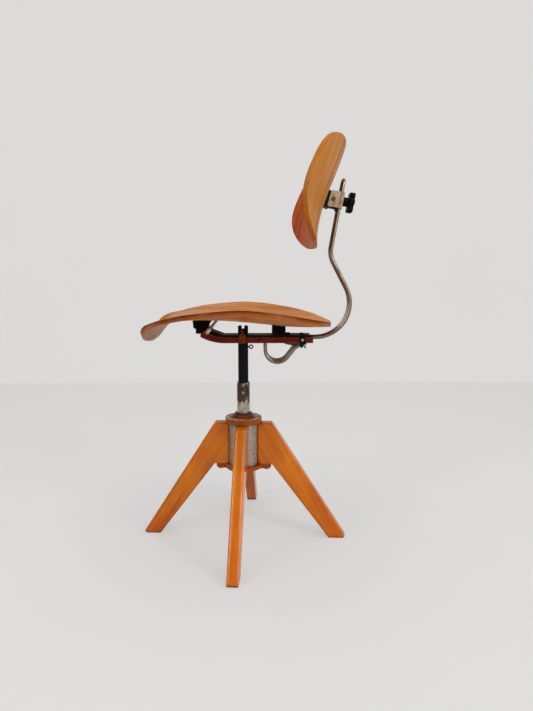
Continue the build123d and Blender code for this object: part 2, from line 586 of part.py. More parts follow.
# ---------------------------------------------------------------- post and its socket
post = ring(POST_RADIUS, POST_RADIUS - POST_WALL, POST_BOTTOM, POST_TOP)
post -= block((-POST_RADIUS, POST_RADIUS), (-POST_SLOT_WIDTH / 2, POST_SLOT_WIDTH / 2),
              (POST_TOP - POST_SLOT_DEPTH, POST_TOP + 1))
crown = fillet(cylinder(POST_RADIUS, POST_BOTTOM, POST_TOP).edges().sort_by(Axis.Z)[-1], POST_TOP_ROUND)
post &= crown
eye_hole_radius = EYE_SHANK_RADIUS + RUNNING_GAP
post -= bar(eye_hole_radius, (0, 0, EYE_SCREW_HEIGHT), (0, POST_RADIUS + 1, EYE_SCREW_HEIGHT))
bore = cylinder(POST_RADIUS, RAIL_BOTTOM - 1, COVER_TOP + 1)
rail -= bore
cover -= bore
post_socket = ring(SOCKET_RADIUS, POST_RADIUS, RAIL_FLOOR, COVER_CEILING)

# ---------------------------------------------------------------- wedge in its straps beside the socket
wall_face = RAIL_WIDTH / 2
socket_wedge = block((wall_face, wall_face + WEDGE_THICKNESS),
                     (WEDGE_PLACE - WEDGE_WIDTH / 2, WEDGE_PLACE + WEDGE_WIDTH / 2),
                     (WEDGE_FOOT, WEDGE_FOOT + WEDGE_LENGTH))
socket_wedge = fillet(socket_wedge.faces().sort_by(Axis.X)[-1].edges(), STRAP_SHEET / 2)
wedge_straps = [
    block((wall_face, wall_face + WEDGE_THICKNESS + STRAP_SHEET),
          (WEDGE_PLACE + side * STRAP_PITCH / 2 - STRAP_WIDTH / 2,
           WEDGE_PLACE + side * STRAP_PITCH / 2 + STRAP_WIDTH / 2),
          (RAIL_BOTTOM, RAIL_BOTTOM + STRAP_LENGTH))
    for side in (-1, 1)
]

# ---------------------------------------------------------------- eye screw
ring_middle = POST_RADIUS + EYE_STAND_OFF + EYE_RING_RADIUS + EYE_WIRE_RADIUS
eye_ring = Pos(0, ring_middle, EYE_SCREW_HEIGHT) * (Rot(0, 90, 0) * Torus(EYE_RING_RADIUS, EYE_WIRE_RADIUS))
eye_shank = bar(EYE_SHANK_RADIUS, (0, POST_RADIUS - POST_WALL, EYE_SCREW_HEIGHT),
                (0, ring_middle - EYE_RING_RADIUS, EYE_SCREW_HEIGHT))
eye_screw = eye_ring + eye_shank

# ---------------------------------------------------------------- cover screws with spacers
screw_head = cylinder(COVER_SCREW_HEAD_RADIUS, COVER_TOP, COVER_TOP + COVER_SCREW_HEAD_HEIGHT)
screw_head = fillet(screw_head.edges().sort_by(Axis.Z)[-1], COVER_SCREW_HEAD_HEIGHT / 3)
screw_at = Pos(0, COVER_SCREW_PLACE, 0)
screw_hole = COVER_SCREW_RADIUS + HOLE_GAP
cover_screw = screw_at * (screw_head + cylinder(COVER_SCREW_RADIUS, RAIL_BOTTOM, COVER_TOP))
cover_spacer = screw_at * ring(SPACER_RADIUS, screw_hole, RAIL_FLOOR, COVER_CEILING)
cover -= screw_at * cylinder(screw_hole, COVER_CEILING - 1, COVER_TOP + 1)
rail -= screw_at * cylinder(COVER_SCREW_RADIUS, RAIL_BOTTOM - 1, RAIL_FLOOR + 1)

# ---------------------------------------------------------------- seat on its two pads
seat = seat_sheet()
pad_core = SEAT_THICKNESS / 2
front_top = under_seat(FRONT_PAD_REAR) + pad_core
front_pad = side_slab(
    [(FRONT_PAD_FRONT, PAD_BOTTOM), (FRONT_PAD_FRONT - FRONT_PAD_FLARE, front_top),
     (FRONT_PAD_REAR + FRONT_PAD_LEAN, front_top), (FRONT_PAD_REAR, PAD_BOTTOM + FRONT_PAD_HEEL),
     (FRONT_PAD_REAR, PAD_BOTTOM)],
    PAD_HALF_WIDTH,
)
rear_pad = block((-PAD_HALF_WIDTH, PAD_HALF_WIDTH), (REAR_PAD_FRONT, REAR_PAD_REAR),
                 (COVER_TOP, under_seat((REAR_PAD_FRONT + REAR_PAD_REAR) / 2) + pad_core))
upright = [edge for edge in rear_pad.edges() if abs(edge.tangent_at(0).Z) > 0.9]
rear_pad = fillet(upright, POST_TOP_ROUND)
pad_plate = block((-RAIL_WIDTH / 2, RAIL_WIDTH / 2), (PAD_PLATE_FRONT, HOOD_FRONT),
                  (RAIL_FRONT_TOP, PAD_BOTTOM - TONGUE_SHEET))
front_pad -= seat
rear_pad -= seat


def seat_screw(x, y, bottom):
    """Pan-head screw from below into the seat."""
    head = cylinder(PAD_SCREW_HEAD_RADIUS, bottom - PAD_SCREW_HEAD_HEIGHT, bottom)
    return Pos(x, y, 0) * (head + cylinder(PAD_SCREW_RADIUS, bottom, under_seat(y) + PAD_SCREW_BITE))


seat_screws = [seat_screw(side * FRONT_SCREW_SPREAD, FRONT_SCREW_PLACE, RAIL_FRONT_TOP) for side in (-1, 1)]
seat_screws += [seat_screw(0, y, COVER_CEILING) for y in REAR_SCREW_PLACES]
for screw in seat_screws:
    place = screw.center()
    clear = Pos(place.X, place.Y, 0) * cylinder(PAD_SCREW_RADIUS + HOLE_GAP, RAIL_FLOOR, POST_TOP * 2)
    front_pad -= clear
    rear_pad -= clear
    pad_plate -= clear
    cover -= clear
    seat -= screw

# ---------------------------------------------------------------- tie studs at the front
stud_rise = Vector(0, cos(radians(STUD_LEAN)), sin(radians(STUD_LEAN)))
stud_spread = RAIL_WIDTH / 2 + STUD_SIDE_GAP + STUD_NUT_RADIUS
tie_studs = []
stud_nuts = []
for side in (-1, 1):
    foot = Vector(side * stud_spread, *STUD_FOOT)
    stud = bar(STUD_RADIUS, foot - stud_rise * STUD_BELOW, foot + stud_rise * STUD_ABOVE)
    stud = (stud - seat).solids().sort_by(SortBy.VOLUME)[-1]
    lug_plane = Plane(origin=(0, *STUD_FOOT), x_dir=(1, 0, 0), z_dir=stud_rise)
    lug_width = STUD_NUT_RADIUS * 2 + STUD_SIDE_GAP
    lug_middle = side * (RAIL_WIDTH + lug_width) / 2
    lug_face = lug_plane * Pos(lug_middle, -LUG_DROP) * Rectangle(lug_width, LUG_LENGTH)
    lug = extrude(lug_face, amount=-LUG_SHEET)
    rail += lug - stud
    tie_studs.append(stud)
    low = 0
    for height in STUD_NUT_HEIGHTS:
        nut_plane = Plane(origin=foot + stud_rise * low, x_dir=(1, 0, 0), z_dir=stud_rise)
        nut = extrude(nut_plane * RegularPolygon(STUD_NUT_RADIUS, 6), amount=height)
        nut = chamfer(nut.edges().group_by(SortBy.LENGTH)[0], STUD_NUT_ROUND)
        stud_nuts.append(nut - stud)
        low += height

# ================================================================ sprung rods
def lean_point(y, z, along):
    """Point on the straight top of the rods."""
    return (y + along * sin(radians(ROD_LEAN)), z + along * cos(radians(ROD_LEAN)))


def meeting(first, first_angle, second, second_angle):
    """Where two lines in (y, z) cross; each angle is above level."""
    c1, s1 = cos(radians(first_angle)), sin(radians(first_angle))
    c2, s2 = cos(radians(second_angle)), sin(radians(second_angle))
    dy, dz = second[0] - first[0], second[1] - first[1]
    t = (dy * s2 - dz * c2) / (c1 * s2 - s1 * c2)
    return (first[0] + t * c1, first[1] + t * s1)


bow_lean = 90 + BOW_LEAN
top_lean = 90 - ROD_LEAN
bow_end = (BOW_START + BOW_RADIUS * cos(radians(BOW_LEAN)),
           ROD_HEIGHT + BOW_RADIUS * (1 + sin(radians(BOW_LEAN))))
bow_corner = meeting((BOW_START, ROD_HEIGHT), 0, bow_end, bow_lean)
knee_corner = meeting(bow_end, bow_lean, ROD_LINE, top_lean)
loop_corner = (LOOP_FRONT, ROD_END[1] - (ROD_END[0] - LOOP_FRONT) * tan(radians(LOOP_LEAN)))
rod_top = meeting(ROD_LINE, top_lean, (0, ROD_TIP - ROD_RADIUS), 0)
jog_front, jog_rear = (CLAMP_PLACE - reach for reach in ROD_JOG)


def strand(side):
    """Corner points of one strand from the clamp to the top bend."""
    wide = side * ROD_SPREAD_FRONT
    narrow = side * ROD_SPREAD_REAR
    return [
        (wide, *ROD_END), (wide, *loop_corner), (wide, LOOP_FRONT, ROD_HEIGHT), (wide, jog_front, ROD_HEIGHT),
        (narrow, jog_rear, ROD_HEIGHT), (narrow, *bow_corner), (narrow, *knee_corner), (narrow, *rod_top),
    ]


strand_bends = [LOOP_RADIUS, LOOP_TOP_RADIUS, ROD_JOG_BEND, ROD_JOG_BEND, BOW_RADIUS, KNEE_RADIUS, ROD_TOP_BEND]
rod_line = rounded_path(strand(1) + strand(-1)[::-1], strand_bends + strand_bends[::-1])
rod_start = Plane(origin=rod_line @ 0, z_dir=rod_line % 0)
spring_rods = sweep(rod_start * Circle(ROD_RADIUS), path=rod_line)

rod_guides = []
for middle, spread in zip(GUIDE_PLACES, GUIDE_SPREADS):
    front = middle - GUIDE_LENGTH / 2
    rear = middle + GUIDE_LENGTH / 2
    guide = block((-CAVITY_WIDTH / 2, CAVITY_WIDTH / 2), (front, rear), (RAIL_FLOOR, ROD_HEIGHT))
    for side in (-1, 1):
        guide -= bar(ROD_RADIUS + RUNNING_GAP, (side * spread, front - 1, ROD_HEIGHT),
                     (side * spread, rear + 1, ROD_HEIGHT))
    rod_guides.append(guide)

# ---------------------------------------------------------------- clamp on the rods' ends
half_clamp = RAIL_WIDTH / 2 + FACE_GAP
clamp_top = RAIL_BOTTOM - FACE_GAP
tail_bottom = clamp_top - SHOE_TAIL
knee_front, knee_rear = (CLAMP_PLACE - reach for reach in SHOE_KNEE)
clamp_shoe = side_slab(
    [(SHOE_FRONT, clamp_top), (SHOE_REAR, clamp_top), (SHOE_REAR, tail_bottom), (knee_rear, tail_bottom),
     (knee_rear, clamp_top - SHOE_DEPTH), (knee_front, clamp_top - SHOE_DEPTH),
     (SHOE_FRONT, clamp_top - SHOE_NOSE)],
    half_clamp,
)
clamp_shoe -= spring_rods

lock_screws = []
clamp_straps = []
for side in (-1, 1):
    inner = side * half_clamp
    outer = side * (half_clamp + STRAP_PLATE)
    strap = block((min(inner, outer), max(inner, outer)),
                  (CLAMP_PLACE - STRAP_PLATE_WIDTH / 2, CLAMP_PLACE + STRAP_PLATE_WIDTH / 2),
                  (tail_bottom, COVER_TOP - STRAP_PLATE_DROP))
    head = bar(LOCK_SCREW_HEAD_RADIUS, (outer, CLAMP_PLACE, LOCK_SCREW_HEIGHT),
               (outer + side * LOCK_SCREW_HEAD_HEIGHT, CLAMP_PLACE, LOCK_SCREW_HEIGHT))
    shank = bar(LOCK_SCREW_RADIUS, (inner, CLAMP_PLACE, LOCK_SCREW_HEIGHT),
                (outer, CLAMP_PLACE, LOCK_SCREW_HEIGHT))
    lock_screws.append(head + shank)
    clamp_straps.append(strap - shank)

wing_top = tail_bottom - FACE_GAP
wing_low = wing_top - WING_HUB_LENGTH
head_low = COVER_TOP + FACE_GAP
bolt_head = cylinder(CLAMP_HEAD_RADIUS, head_low, head_low + CLAMP_HEAD_HEIGHT)
bolt_head = fillet(bolt_head.edges().sort_by(Axis.Z)[-1], CLAMP_HEAD_HEIGHT / 3)
clamp_bolt = bolt_head + cylinder(CLAMP_BOLT_RADIUS, wing_low - CLAMP_BOLT_RADIUS, head_low)
clamp_bolt = Pos(0, CLAMP_PLACE, 0) * clamp_bolt
clamp_shoe -= clamp_bolt
bolt_slot = block(
    (-CLAMP_BOLT_RADIUS - FACE_GAP, CLAMP_BOLT_RADIUS + FACE_GAP),
    (CLAMP_PLACE - CLAMP_BOLT_RADIUS - DEPTH_FORWARD - SLOT_MARGIN,
     CLAMP_PLACE + CLAMP_BOLT_RADIUS + DEPTH_BACKWARD + SLOT_MARGIN),
    (HUB_TOP, COVER_TOP + 1),
)
rail -= bolt_slot
cover -= bolt_slot
wing_hub = cylinder(WING_HUB_RADIUS, wing_low, wing_top)
wing_blade = side_slab(
    [(0, wing_top - 1), (WING_SPAN - WING_SHEET, wing_low + WING_SHEET / 2), (WING_SPAN, wing_low - WING_DROP),
     (WING_SPAN - WING_SHEET, wing_low - WING_DROP), (WING_HUB_RADIUS, wing_low), (0, wing_low)],
    WING_SHEET / 2,
)
wing_nut = wing_hub + wing_blade + Rot(0, 0, 180) * wing_blade
wing_nut -= cylinder(CLAMP_BOLT_RADIUS + RUNNING_GAP, wing_low - WING_SPAN, wing_top + 1)
wing_nut = Pos(0, CLAMP_PLACE, 0) * wing_nut

# ================================================================ backrest bracket
bracket_at = meeting(ROD_LINE, top_lean, (0, BRACKET_HEIGHT), 0)
rod_frame = Plane(origin=(0, *bracket_at), x_dir=(1, 0, 0),
                  z_dir=(0, sin(radians(ROD_LEAN)), cos(radians(ROD_LEAN))))


def on_rods(shape):
    """Shape drawn with x across, y rearwards and z along the rods, put in its place."""
    return rod_frame.location * shape


side_inner = ROD_SPREAD_REAR + ROD_RADIUS + FACE_GAP * 2
side_outer = side_inner + BRACKET_SHEET
web_front = ROD_RADIUS + FACE_GAP
web_rear = web_front + BRACKET_SHEET
bracket = side_slab(
    [(BRACKET_FRONT_LOW, -BRACKET_HALF_HEIGHT), (BRACKET_FRONT_HIGH, BRACKET_HALF_HEIGHT),
     (web_rear, BRACKET_HALF_HEIGHT), (web_rear, -BRACKET_HALF_HEIGHT)],
    side_outer,
)
front_corners = [e for e in bracket.edges() if abs(e.tangent_at(0).X) > 0.9 and e.center().Y < 0]
bracket = fillet(front_corners, BRACKET_CORNER)
rear_corners = [e for e in bracket.edges() if abs(e.tangent_at(0).Z) > 0.9 and e.center().Y > 0]
bracket = fillet(rear_corners, BRACKET_SHEET)
bracket -= block((-side_inner, side_inner), (BRACKET_FRONT_LOW - 1, web_front),
                 (-BRACKET_HALF_HEIGHT - 1, BRACKET_HALF_HEIGHT + 1))
bracket -= bar(PIN_RADIUS, (-side_outer, PIN_PLACE, 0), (side_outer, PIN_PLACE, 0))
bracket -= bar(KNOB_STUD_RADIUS + RUNNING_GAP, (0, 0, 0), (0, web_rear + 1, 0))
pivot_pin = bar(PIN_RADIUS, (-side_outer, PIN_PLACE, 0), (side_outer, PIN_PLACE, 0))
for side in (-1, 1):
    cap = bar(PIN_HEAD_RADIUS, (side * side_outer, PIN_PLACE, 0),
              (side * (side_outer + PIN_HEAD_HEIGHT), PIN_PLACE, 0))
    pivot_pin += cap
    mouth = side * (side_outer + PIN_HEAD_HEIGHT)
    pivot_pin -= bar(PIN_HOLLOW_RADIUS, (mouth - side * PIN_HOLLOW_DEPTH, PIN_PLACE, 0), (mouth, PIN_PLACE, 0))

saddle_rear = -FACE_GAP * 4
saddle = block((-side_inner, side_inner), (saddle_rear - SADDLE_DEPTH, saddle_rear), (-SADDLE_DROP, SADDLE_TOP))
for side in (-1, 1):
    x = side * ROD_SPREAD_REAR
    saddle -= bar(ROD_RADIUS + FACE_GAP, (x, 0, -SADDLE_DROP - 1), (x, 0, SADDLE_TOP + 1))
saddle -= bar(KNOB_STUD_RADIUS + RUNNING_GAP, (0, saddle_rear - SADDLE_DEPTH / 2, 0), (0, 0, 0))

knob_front = web_rear + FACE_GAP
neck_rear = knob_front + KNOB_NECK_LENGTH
knob_face = Circle(KNOB_CORE_RADIUS)
for k in range(KNOB_LOBES):
    knob_face += Rot(0, 0, 360 / KNOB_LOBES * k) * (Pos(KNOB_LOBE_PITCH, 0) * Circle(KNOB_LOBE_RADIUS))
back_facing = Plane(origin=(0, neck_rear, 0), x_dir=(1, 0, 0), z_dir=(0, 1, 0))
knob_head = fillet(extrude(back_facing * knob_face, amount=KNOB_HEAD_THICKNESS).edges(), KNOB_ROUND)
knob_neck = bar(KNOB_NECK_RADIUS, (0, knob_front, 0), (0, neck_rear + KNOB_ROUND, 0))
knob_stud = bar(KNOB_STUD_RADIUS, (0, saddle_rear - SADDLE_DEPTH / 2 + FACE_GAP, 0), (0, neck_rear, 0))
star_knob = knob_head + knob_neck - knob_stud

# ================================================================ backrest panel
pivot_at = rod_frame.from_local_coords((0, PIN_PLACE, 0))
panel_plane = Plane(origin=pivot_at + Vector(0, -PANEL_SETBACK, PANEL_RISE), x_dir=(1, 0, 0),
                    z_dir=(0, -cos(radians(PANEL_LEAN)), sin(radians(PANEL_LEAN))))
panel_place = panel_plane.location * Rot(0, -PANEL_SWING, 0) * Rot(0, 0, PANEL_ROLL)


def panel_forward(x, y):
    """How far the panel's front face stands forward of its middle."""
    twist = PANEL_TWIST * y * y * y / MM_PER_M ** 2
    return x * x / (2 * PANEL_WRAP_RADIUS) - y * y / (2 * PANEL_ROLL_RADIUS) + twist


def panel_rim(angle):
    """Point of the panel's outline, a rounded oblong that bends and tapers a little."""
    power = 2 / PANEL_POWER
    across = abs(cos(angle)) ** power * (1 if cos(angle) > 0 else -1)
    up = abs(sin(angle)) ** power * (1 if sin(angle) > 0 else -1)
    width = PANEL_HALF_WIDTH * across * (1 - PANEL_TAPER * up + PANEL_SHOULDER * up * up)
    return (width, PANEL_HALF_HEIGHT * (up + PANEL_DROOP * (width / PANEL_HALF_WIDTH) ** 2))


rim = [panel_rim(2 * pi * (k + 0.5) / RIM_STEPS) for k in range(RIM_STEPS)]
rim_face = make_face(Spline(*rim, periodic=True))
rim_prism = extrude(rim_face, amount=PANEL_HALF_WIDTH, both=True)
panel = panel_place * moulded_sheet(
    panel_forward, PANEL_HALF_WIDTH + EDGE_MARGIN * 2,
    -PANEL_HALF_HEIGHT * (1 + PANEL_DROOP), PANEL_HALF_HEIGHT * (1 + PANEL_DROOP) + EDGE_MARGIN,
    rim_prism, PANEL_THICKNESS, (0, 0, -1),
)

pin_at = rod_frame.from_local_coords(Vector(0, PIN_PLACE, 0))
pin_plane = Plane(origin=pin_at, x_dir=(1, 0, 0), z_dir=panel_plane.z_dir)
reach = panel_plane.to_local_coords(pin_at).Z
block_front = -reach - PANEL_THICKNESS / 2
hinge_block = block((-BLOCK_HALF_WIDTH, BLOCK_HALF_WIDTH), (-BLOCK_BELOW, BLOCK_ABOVE),
                    (BLOCK_REAR, block_front))
knuckle = bar(KNUCKLE_RADIUS, (-BLOCK_HALF_WIDTH, 0, 0), (BLOCK_HALF_WIDTH, 0, 0))
web = block((-BLOCK_HALF_WIDTH, BLOCK_HALF_WIDTH), (-KNUCKLE_RADIUS, KNUCKLE_RADIUS), (0, BLOCK_REAR + 1))
pin_bore = bar(PIN_RADIUS + RUNNING_GAP, (-side_outer, 0, 0), (side_outer, 0, 0))
hinge_block = pin_plane.location * (hinge_block + knuckle + web - pin_bore)
hinge_block = (hinge_block - panel).solids().sort_by(SortBy.VOLUME)[-1]

back_screws = []
for height in BACK_SCREW_PLACES:
    head_at = pin_plane.from_local_coords(Vector(0, height, BLOCK_REAR))
    forward = panel_plane.z_dir
    head = bar(BACK_SCREW_HEAD_RADIUS, head_at - forward * BACK_SCREW_HEAD_HEIGHT, head_at)
    shank = bar(BACK_SCREW_RADIUS, head_at, head_at + forward * BACK_SCREW_LENGTH)
    back_screws.append(head + shank)
    hinge_block -= shank
    panel -= shank
    hinge_block -= head

# ================================================================ export
nodes = {
    "hub_tube": [hub_tube], "top_flange": [top_flange], "bottom_plate": [bottom_plate],
    "upper_bush": [upper_bush], "lower_bush": [lower_bush], "bearing_collar": [bearing_collar],
    "ear_screws": ear_screws, "hub_screws": hub_screws,
    "sleeve": [sleeve], "lock_ring": [lock_ring], "snap_ring": [snap_ring], "grub_screws": grub_screws,
    "post": [post], "post_socket": [post_socket], "eye_screw": [eye_screw],
    "rail": [rail], "cover": [cover], "wedge_straps": wedge_straps, "socket_wedge": [socket_wedge],
    "cover_screw": [cover_screw], "cover_spacer": [cover_spacer], "rod_guides": rod_guides,
    "front_pad": [front_pad], "rear_pad": [rear_pad], "pad_plate": [pad_plate],
    "tie_studs": tie_studs, "stud_nuts": stud_nuts,
    "seat_shell": [seat], "seat_screws": seat_screws,
    "spring_rods": [spring_rods], "clamp_shoe": [clamp_shoe], "clamp_straps": clamp_straps,
    "clamp_bolt": [clamp_bolt], "lock_screws": lock_screws, "wing_nut": [wing_nut],
    "back_bracket": [on_rods(bracket)], "pivot_pin": [on_rods(pivot_pin)], "rod_saddle": [on_rods(saddle)],
    "star_knob": [on_rods(star_knob)], "knob_stud": [on_rods(knob_stud)],
    "backrest_panel": [panel], "hinge_block": [hinge_block], "back_screws": back_screws,
}
for number, leg in enumerate(legs, 1):
    nodes[f"leg_{number}"] = [leg]
for name, pieces in nodes.items():
    shape = pieces[0]
    if len(pieces) > 1:
        shape = Compound(children=[solid for piece in pieces for solid in piece.solids()])
    export_step(shape, f"parts/{name}.step")
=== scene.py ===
"""Looks of the swivel work chair: finishes, moulded plywood, floor, light and camera."""
import bmesh
import bpy
import json
from math import atan2, cos, radians, sin
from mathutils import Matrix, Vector
from mathutils.bvhtree import BVHTree


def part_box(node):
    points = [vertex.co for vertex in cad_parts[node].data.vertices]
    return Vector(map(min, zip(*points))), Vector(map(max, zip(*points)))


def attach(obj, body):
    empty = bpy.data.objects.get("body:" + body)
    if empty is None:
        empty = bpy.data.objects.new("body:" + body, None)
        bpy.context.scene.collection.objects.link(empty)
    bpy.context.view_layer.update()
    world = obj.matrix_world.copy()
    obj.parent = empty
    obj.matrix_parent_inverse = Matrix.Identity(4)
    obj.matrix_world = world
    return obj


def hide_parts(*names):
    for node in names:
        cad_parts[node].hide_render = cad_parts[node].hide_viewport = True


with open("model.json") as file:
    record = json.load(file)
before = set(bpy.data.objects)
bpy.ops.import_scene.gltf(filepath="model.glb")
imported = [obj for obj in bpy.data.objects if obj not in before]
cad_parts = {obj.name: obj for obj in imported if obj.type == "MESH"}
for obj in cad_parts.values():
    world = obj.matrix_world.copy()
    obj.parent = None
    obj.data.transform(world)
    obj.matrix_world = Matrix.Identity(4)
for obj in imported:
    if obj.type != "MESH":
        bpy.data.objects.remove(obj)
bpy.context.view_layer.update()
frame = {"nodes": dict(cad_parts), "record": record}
NODES = frame["nodes"]


def middle(name):
    """Centre of a node's box at rest."""
    low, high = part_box(name)
    return (Vector(low) + Vector(high)) / 2


# ---------------------------------------------------------------- measures and tones
LEG_SLOPE = radians(32)
ROD_LEAN = radians(9.9)
LEG_ROUNDING = 0.008
SHELL_ROUNDING = 0.0018
# pairs of metres: where a finish begins to change, and where the change is full; the first two place painted
# shade on the legs
HUB_SHADE_DEPTH = (0.062, -0.008)     # below the top of the legs
FOOT_SHADE_HEIGHT = (0.05, 0.0)       # above the floor
LIP_FROM_FRONT = (0.0535, 0.0255)     # behind the front edge of the seat
RUST_FADE_BELOW, RUST_FADE_ABOVE = (0.024, 0.010), (0.034, 0.016)
RUST_MIDDLE = 0.026                   # below the top of the sleeve
CREASE_BEHIND_PIVOT, RUN_BEHIND_PIVOT = 0.0145, 0.002

# linear colours; three tones of wood are its light, middle and dark figure
SEAT_TONES = ((0.59, 0.215, 0.016), (0.52, 0.175, 0.010), (0.39, 0.110, 0.005))
UNDER_TONES = ((0.58, 0.190, 0.012), (0.50, 0.148, 0.008), (0.36, 0.09, 0.004))
BACK_TONES = ((0.50, 0.110, 0.003), (0.44, 0.083, 0.002), (0.33, 0.055, 0.001))
REAR_TONES = ((0.53, 0.222, 0.040), (0.455, 0.178, 0.029), (0.33, 0.105, 0.013))
LEG_TONES = ((0.66, 0.180, 0.003), (0.58, 0.142, 0.002), (0.47, 0.100, 0.0015))
# the first two are painted shade: under the hub, and near the floor
LEG_SHADE_AT_HUB, LEG_SHADE_AT_FOOT, LEG_EDGES = (0.40, 0.075, 0.003), (0.52, 0.095, 0.002), (0.14, 0.022, 0.002)
# the second of these is painted shade, for the corners of the legs
LEG_STAIN, LEG_CORNER_SHADE = (0.07, 0.012, 0.003), (0.10, 0.014, 0.002)
# painted shade for corners: first of the plywood shells, then of the enamel
SHELL_CORNER_SHADE, ENAMEL_CORNER_SHADE = (0.06, 0.016, 0.005), (0.010, 0.006, 0.004)
PALE, BROWN, ARRIS = (0.33, 0.090, 0.013), (0.20, 0.045, 0.006), (0.09, 0.015, 0.004)
ORANGE, GLUE, RED = (0.46, 0.14, 0.012), (0.48, 0.13, 0.012), (0.20, 0.027, 0.002)
RUST, SLEEVE_RUST = (0.19, 0.038, 0.005), (0.040, 0.014, 0.006)
# the first is painted shade along the bracket's bend; the second is a brown run
CREASE_SHADE, PIVOT_RUN = (0.10, 0.045, 0.015), (0.16, 0.07, 0.022)
BLACK, BARE = (0.003, 0.003, 0.0035), (0.06, 0.04, 0.028)
WHITE = (1, 1, 1)

# veneers from the back of a shell, 0, to its front, 1
SEAT_EDGE = ((0.0, PALE), (0.20, PALE), (0.25, BROWN), (0.30, PALE), (0.40, PALE), (0.48, RUST),
             (0.70, RUST), (0.80, ARRIS), (1.0, ARRIS))
BACK_EDGE = ((0.0, RED), (0.05, RED), (0.11, ORANGE), (0.46, ORANGE), (0.52, GLUE), (0.58, ORANGE),
             (0.86, ORANGE), (0.92, RED), (1.0, RED))


# ---------------------------------------------------------------- node tools
def colour4(value):
    """A tone with its alpha; a socket stays as it is."""
    return value if isinstance(value, bpy.types.NodeSocket) or len(value) == 4 else (*value, 1)


class Nodes:
    """A node tree being built: short calls that add nodes and join them."""

    def __init__(self, tree):
        self.tree = tree

    def add(self, kind, inputs=None, **settings):
        node = self.tree.nodes.new("ShaderNode" + kind)
        for key, value in settings.items():
            setattr(node, key, value)
        for key, value in (inputs or {}).items():
            self.feed(node.inputs[key], value)
        return node

    def feed(self, socket, value):
        if isinstance(value, bpy.types.NodeSocket):
            self.tree.links.new(value, socket)
        else:
            socket.default_value = value

    def math(self, operation, first, second=0.0):
        node = self.add("Math", operation=operation)
        self.feed(node.inputs[0], first)
        self.feed(node.inputs[1], second)
        return node.outputs[0]

    def spread(self, value, source, target):
        """The value laid from one range to another, and held at its ends."""
        limits = dict(zip(("From Min", "From Max", "To Min", "To Max"), source + target))
        return self.add("MapRange", {"Value": value, **limits}).outputs["Result"]


class Shader(Nodes):
    """A material being built on one Principled surface."""

    def __init__(self, name, **settings):
        self.material = bpy.data.materials.new(name)
        self.material.use_nodes = True
        super().__init__(self.material.node_tree)
        self.surface = self.tree.nodes["Principled BSDF"]
        for socket, value in settings.items():
            self.surface.inputs[socket.replace("_", " ")].default_value = value

    def place(self, scale=(1, 1, 1), turns=(), shift=(0, 0, 0)):
        """Row-frame position in metres, shifted, turned and scaled."""
        point = self.add("TexCoord").outputs["Object"]
        point = self.add("Mapping", {"Vector": point, "Location": shift}).outputs[0]
        for turn in turns:
            point = self.add("Mapping", {"Vector": point, "Rotation": turn}).outputs[0]
        return self.add("Mapping", {"Vector": point, "Scale": scale}).outputs[0]

    def axis(self, letter, source="Object"):
        """One part of a texture coordinate, in metres for Object."""
        point = self.add("TexCoord").outputs[source]
        return self.add("SeparateXYZ", {"Vector": point}).outputs[letter]

    def noise(self, place, detail=3.0, rough=0.5, twist=0.0):
        values = {"Vector": place, "Scale": 1.0, "Detail": detail, "Roughness": rough, "Distortion": twist}
        return self.add("TexNoise", values).outputs["Fac"]

    def ramp(self, value, *stops):
        """Colour ramp through (place, colour) stops; a bare number is a grey."""
        node = self.add("ValToRGB", {"Fac": value})
        elements = node.color_ramp.elements
        while len(elements) < len(stops):
            elements.new(0.5)
        for element, (place, colour) in zip(elements, stops):
            element.position = place
            element.color = (colour,) * 3 + (1,) if isinstance(colour, (int, float)) else (*colour, 1)
        return node.outputs["Color"]

    def step(self, value, low, high):
        """0 up to low, 1 from high on, and a smooth rise between them; high may be below low."""
        values = {"Value": value, "From Min": low, "From Max": high}
        return self.add("MapRange", values, interpolation_type="SMOOTHSTEP").outputs["Result"]

    def mix(self, factor, first, second, blend="MIX"):
        node = self.add("Mix", data_type="RGBA", blend_type=blend)
        self.feed(node.inputs[0], factor)
        self.feed(node.inputs[6], colour4(first))
        self.feed(node.inputs[7], colour4(second))
        return node.outputs[2]

    def tint(self, colour, amount, value, *stops):
        """The colour multiplied by a ramp of the value."""
        return self.mix(amount, colour, self.ramp(value, *stops), "MULTIPLY")

    def cover(self, colour, tone, mask, amount):
        """The tone over the colour, where the mask is 1 and as much as the amount says."""
        return self.mix(self.math("MULTIPLY", mask, amount), colour, tone)

    def edges(self, radius=0.0018, low=0.015, high=0.12):
        """1 along sharp edges, 0 away from them."""
        soft = self.add("Bevel", {"Radius": radius}, samples=6).outputs[0]
        plain = self.add("NewGeometry").outputs["Normal"]
        agree = self.add("VectorMath", {0: soft, 1: plain}, operation="DOT_PRODUCT").outputs["Value"]
        return self.step(self.math("SUBTRACT", 1.0, agree), low, high)

    def corner_shade(self, distance=0.006):
        """Painted shade mask: 1 in corners and beside what touches, 0 in the open."""
        open_sky = self.add("AmbientOcclusion", {"Distance": distance}, samples=6).outputs["AO"]
        return self.step(open_sky, 0.85, 0.35)

    def bump(self, height, strength=0.2, distance=0.0005, under=None):
        node = self.add("Bump", {"Height": height, "Strength": strength, "Distance": distance})
        if under:
            self.feed(node.inputs["Normal"], under)
        return node.outputs[0]

    def finish(self, colour, rough, normal):
        """The material, once its surface has these three inputs."""
        for name, value in (("Base Color", colour), ("Roughness", rough), ("Normal", normal)):
            self.feed(self.surface.inputs[name], value)
        return self.material


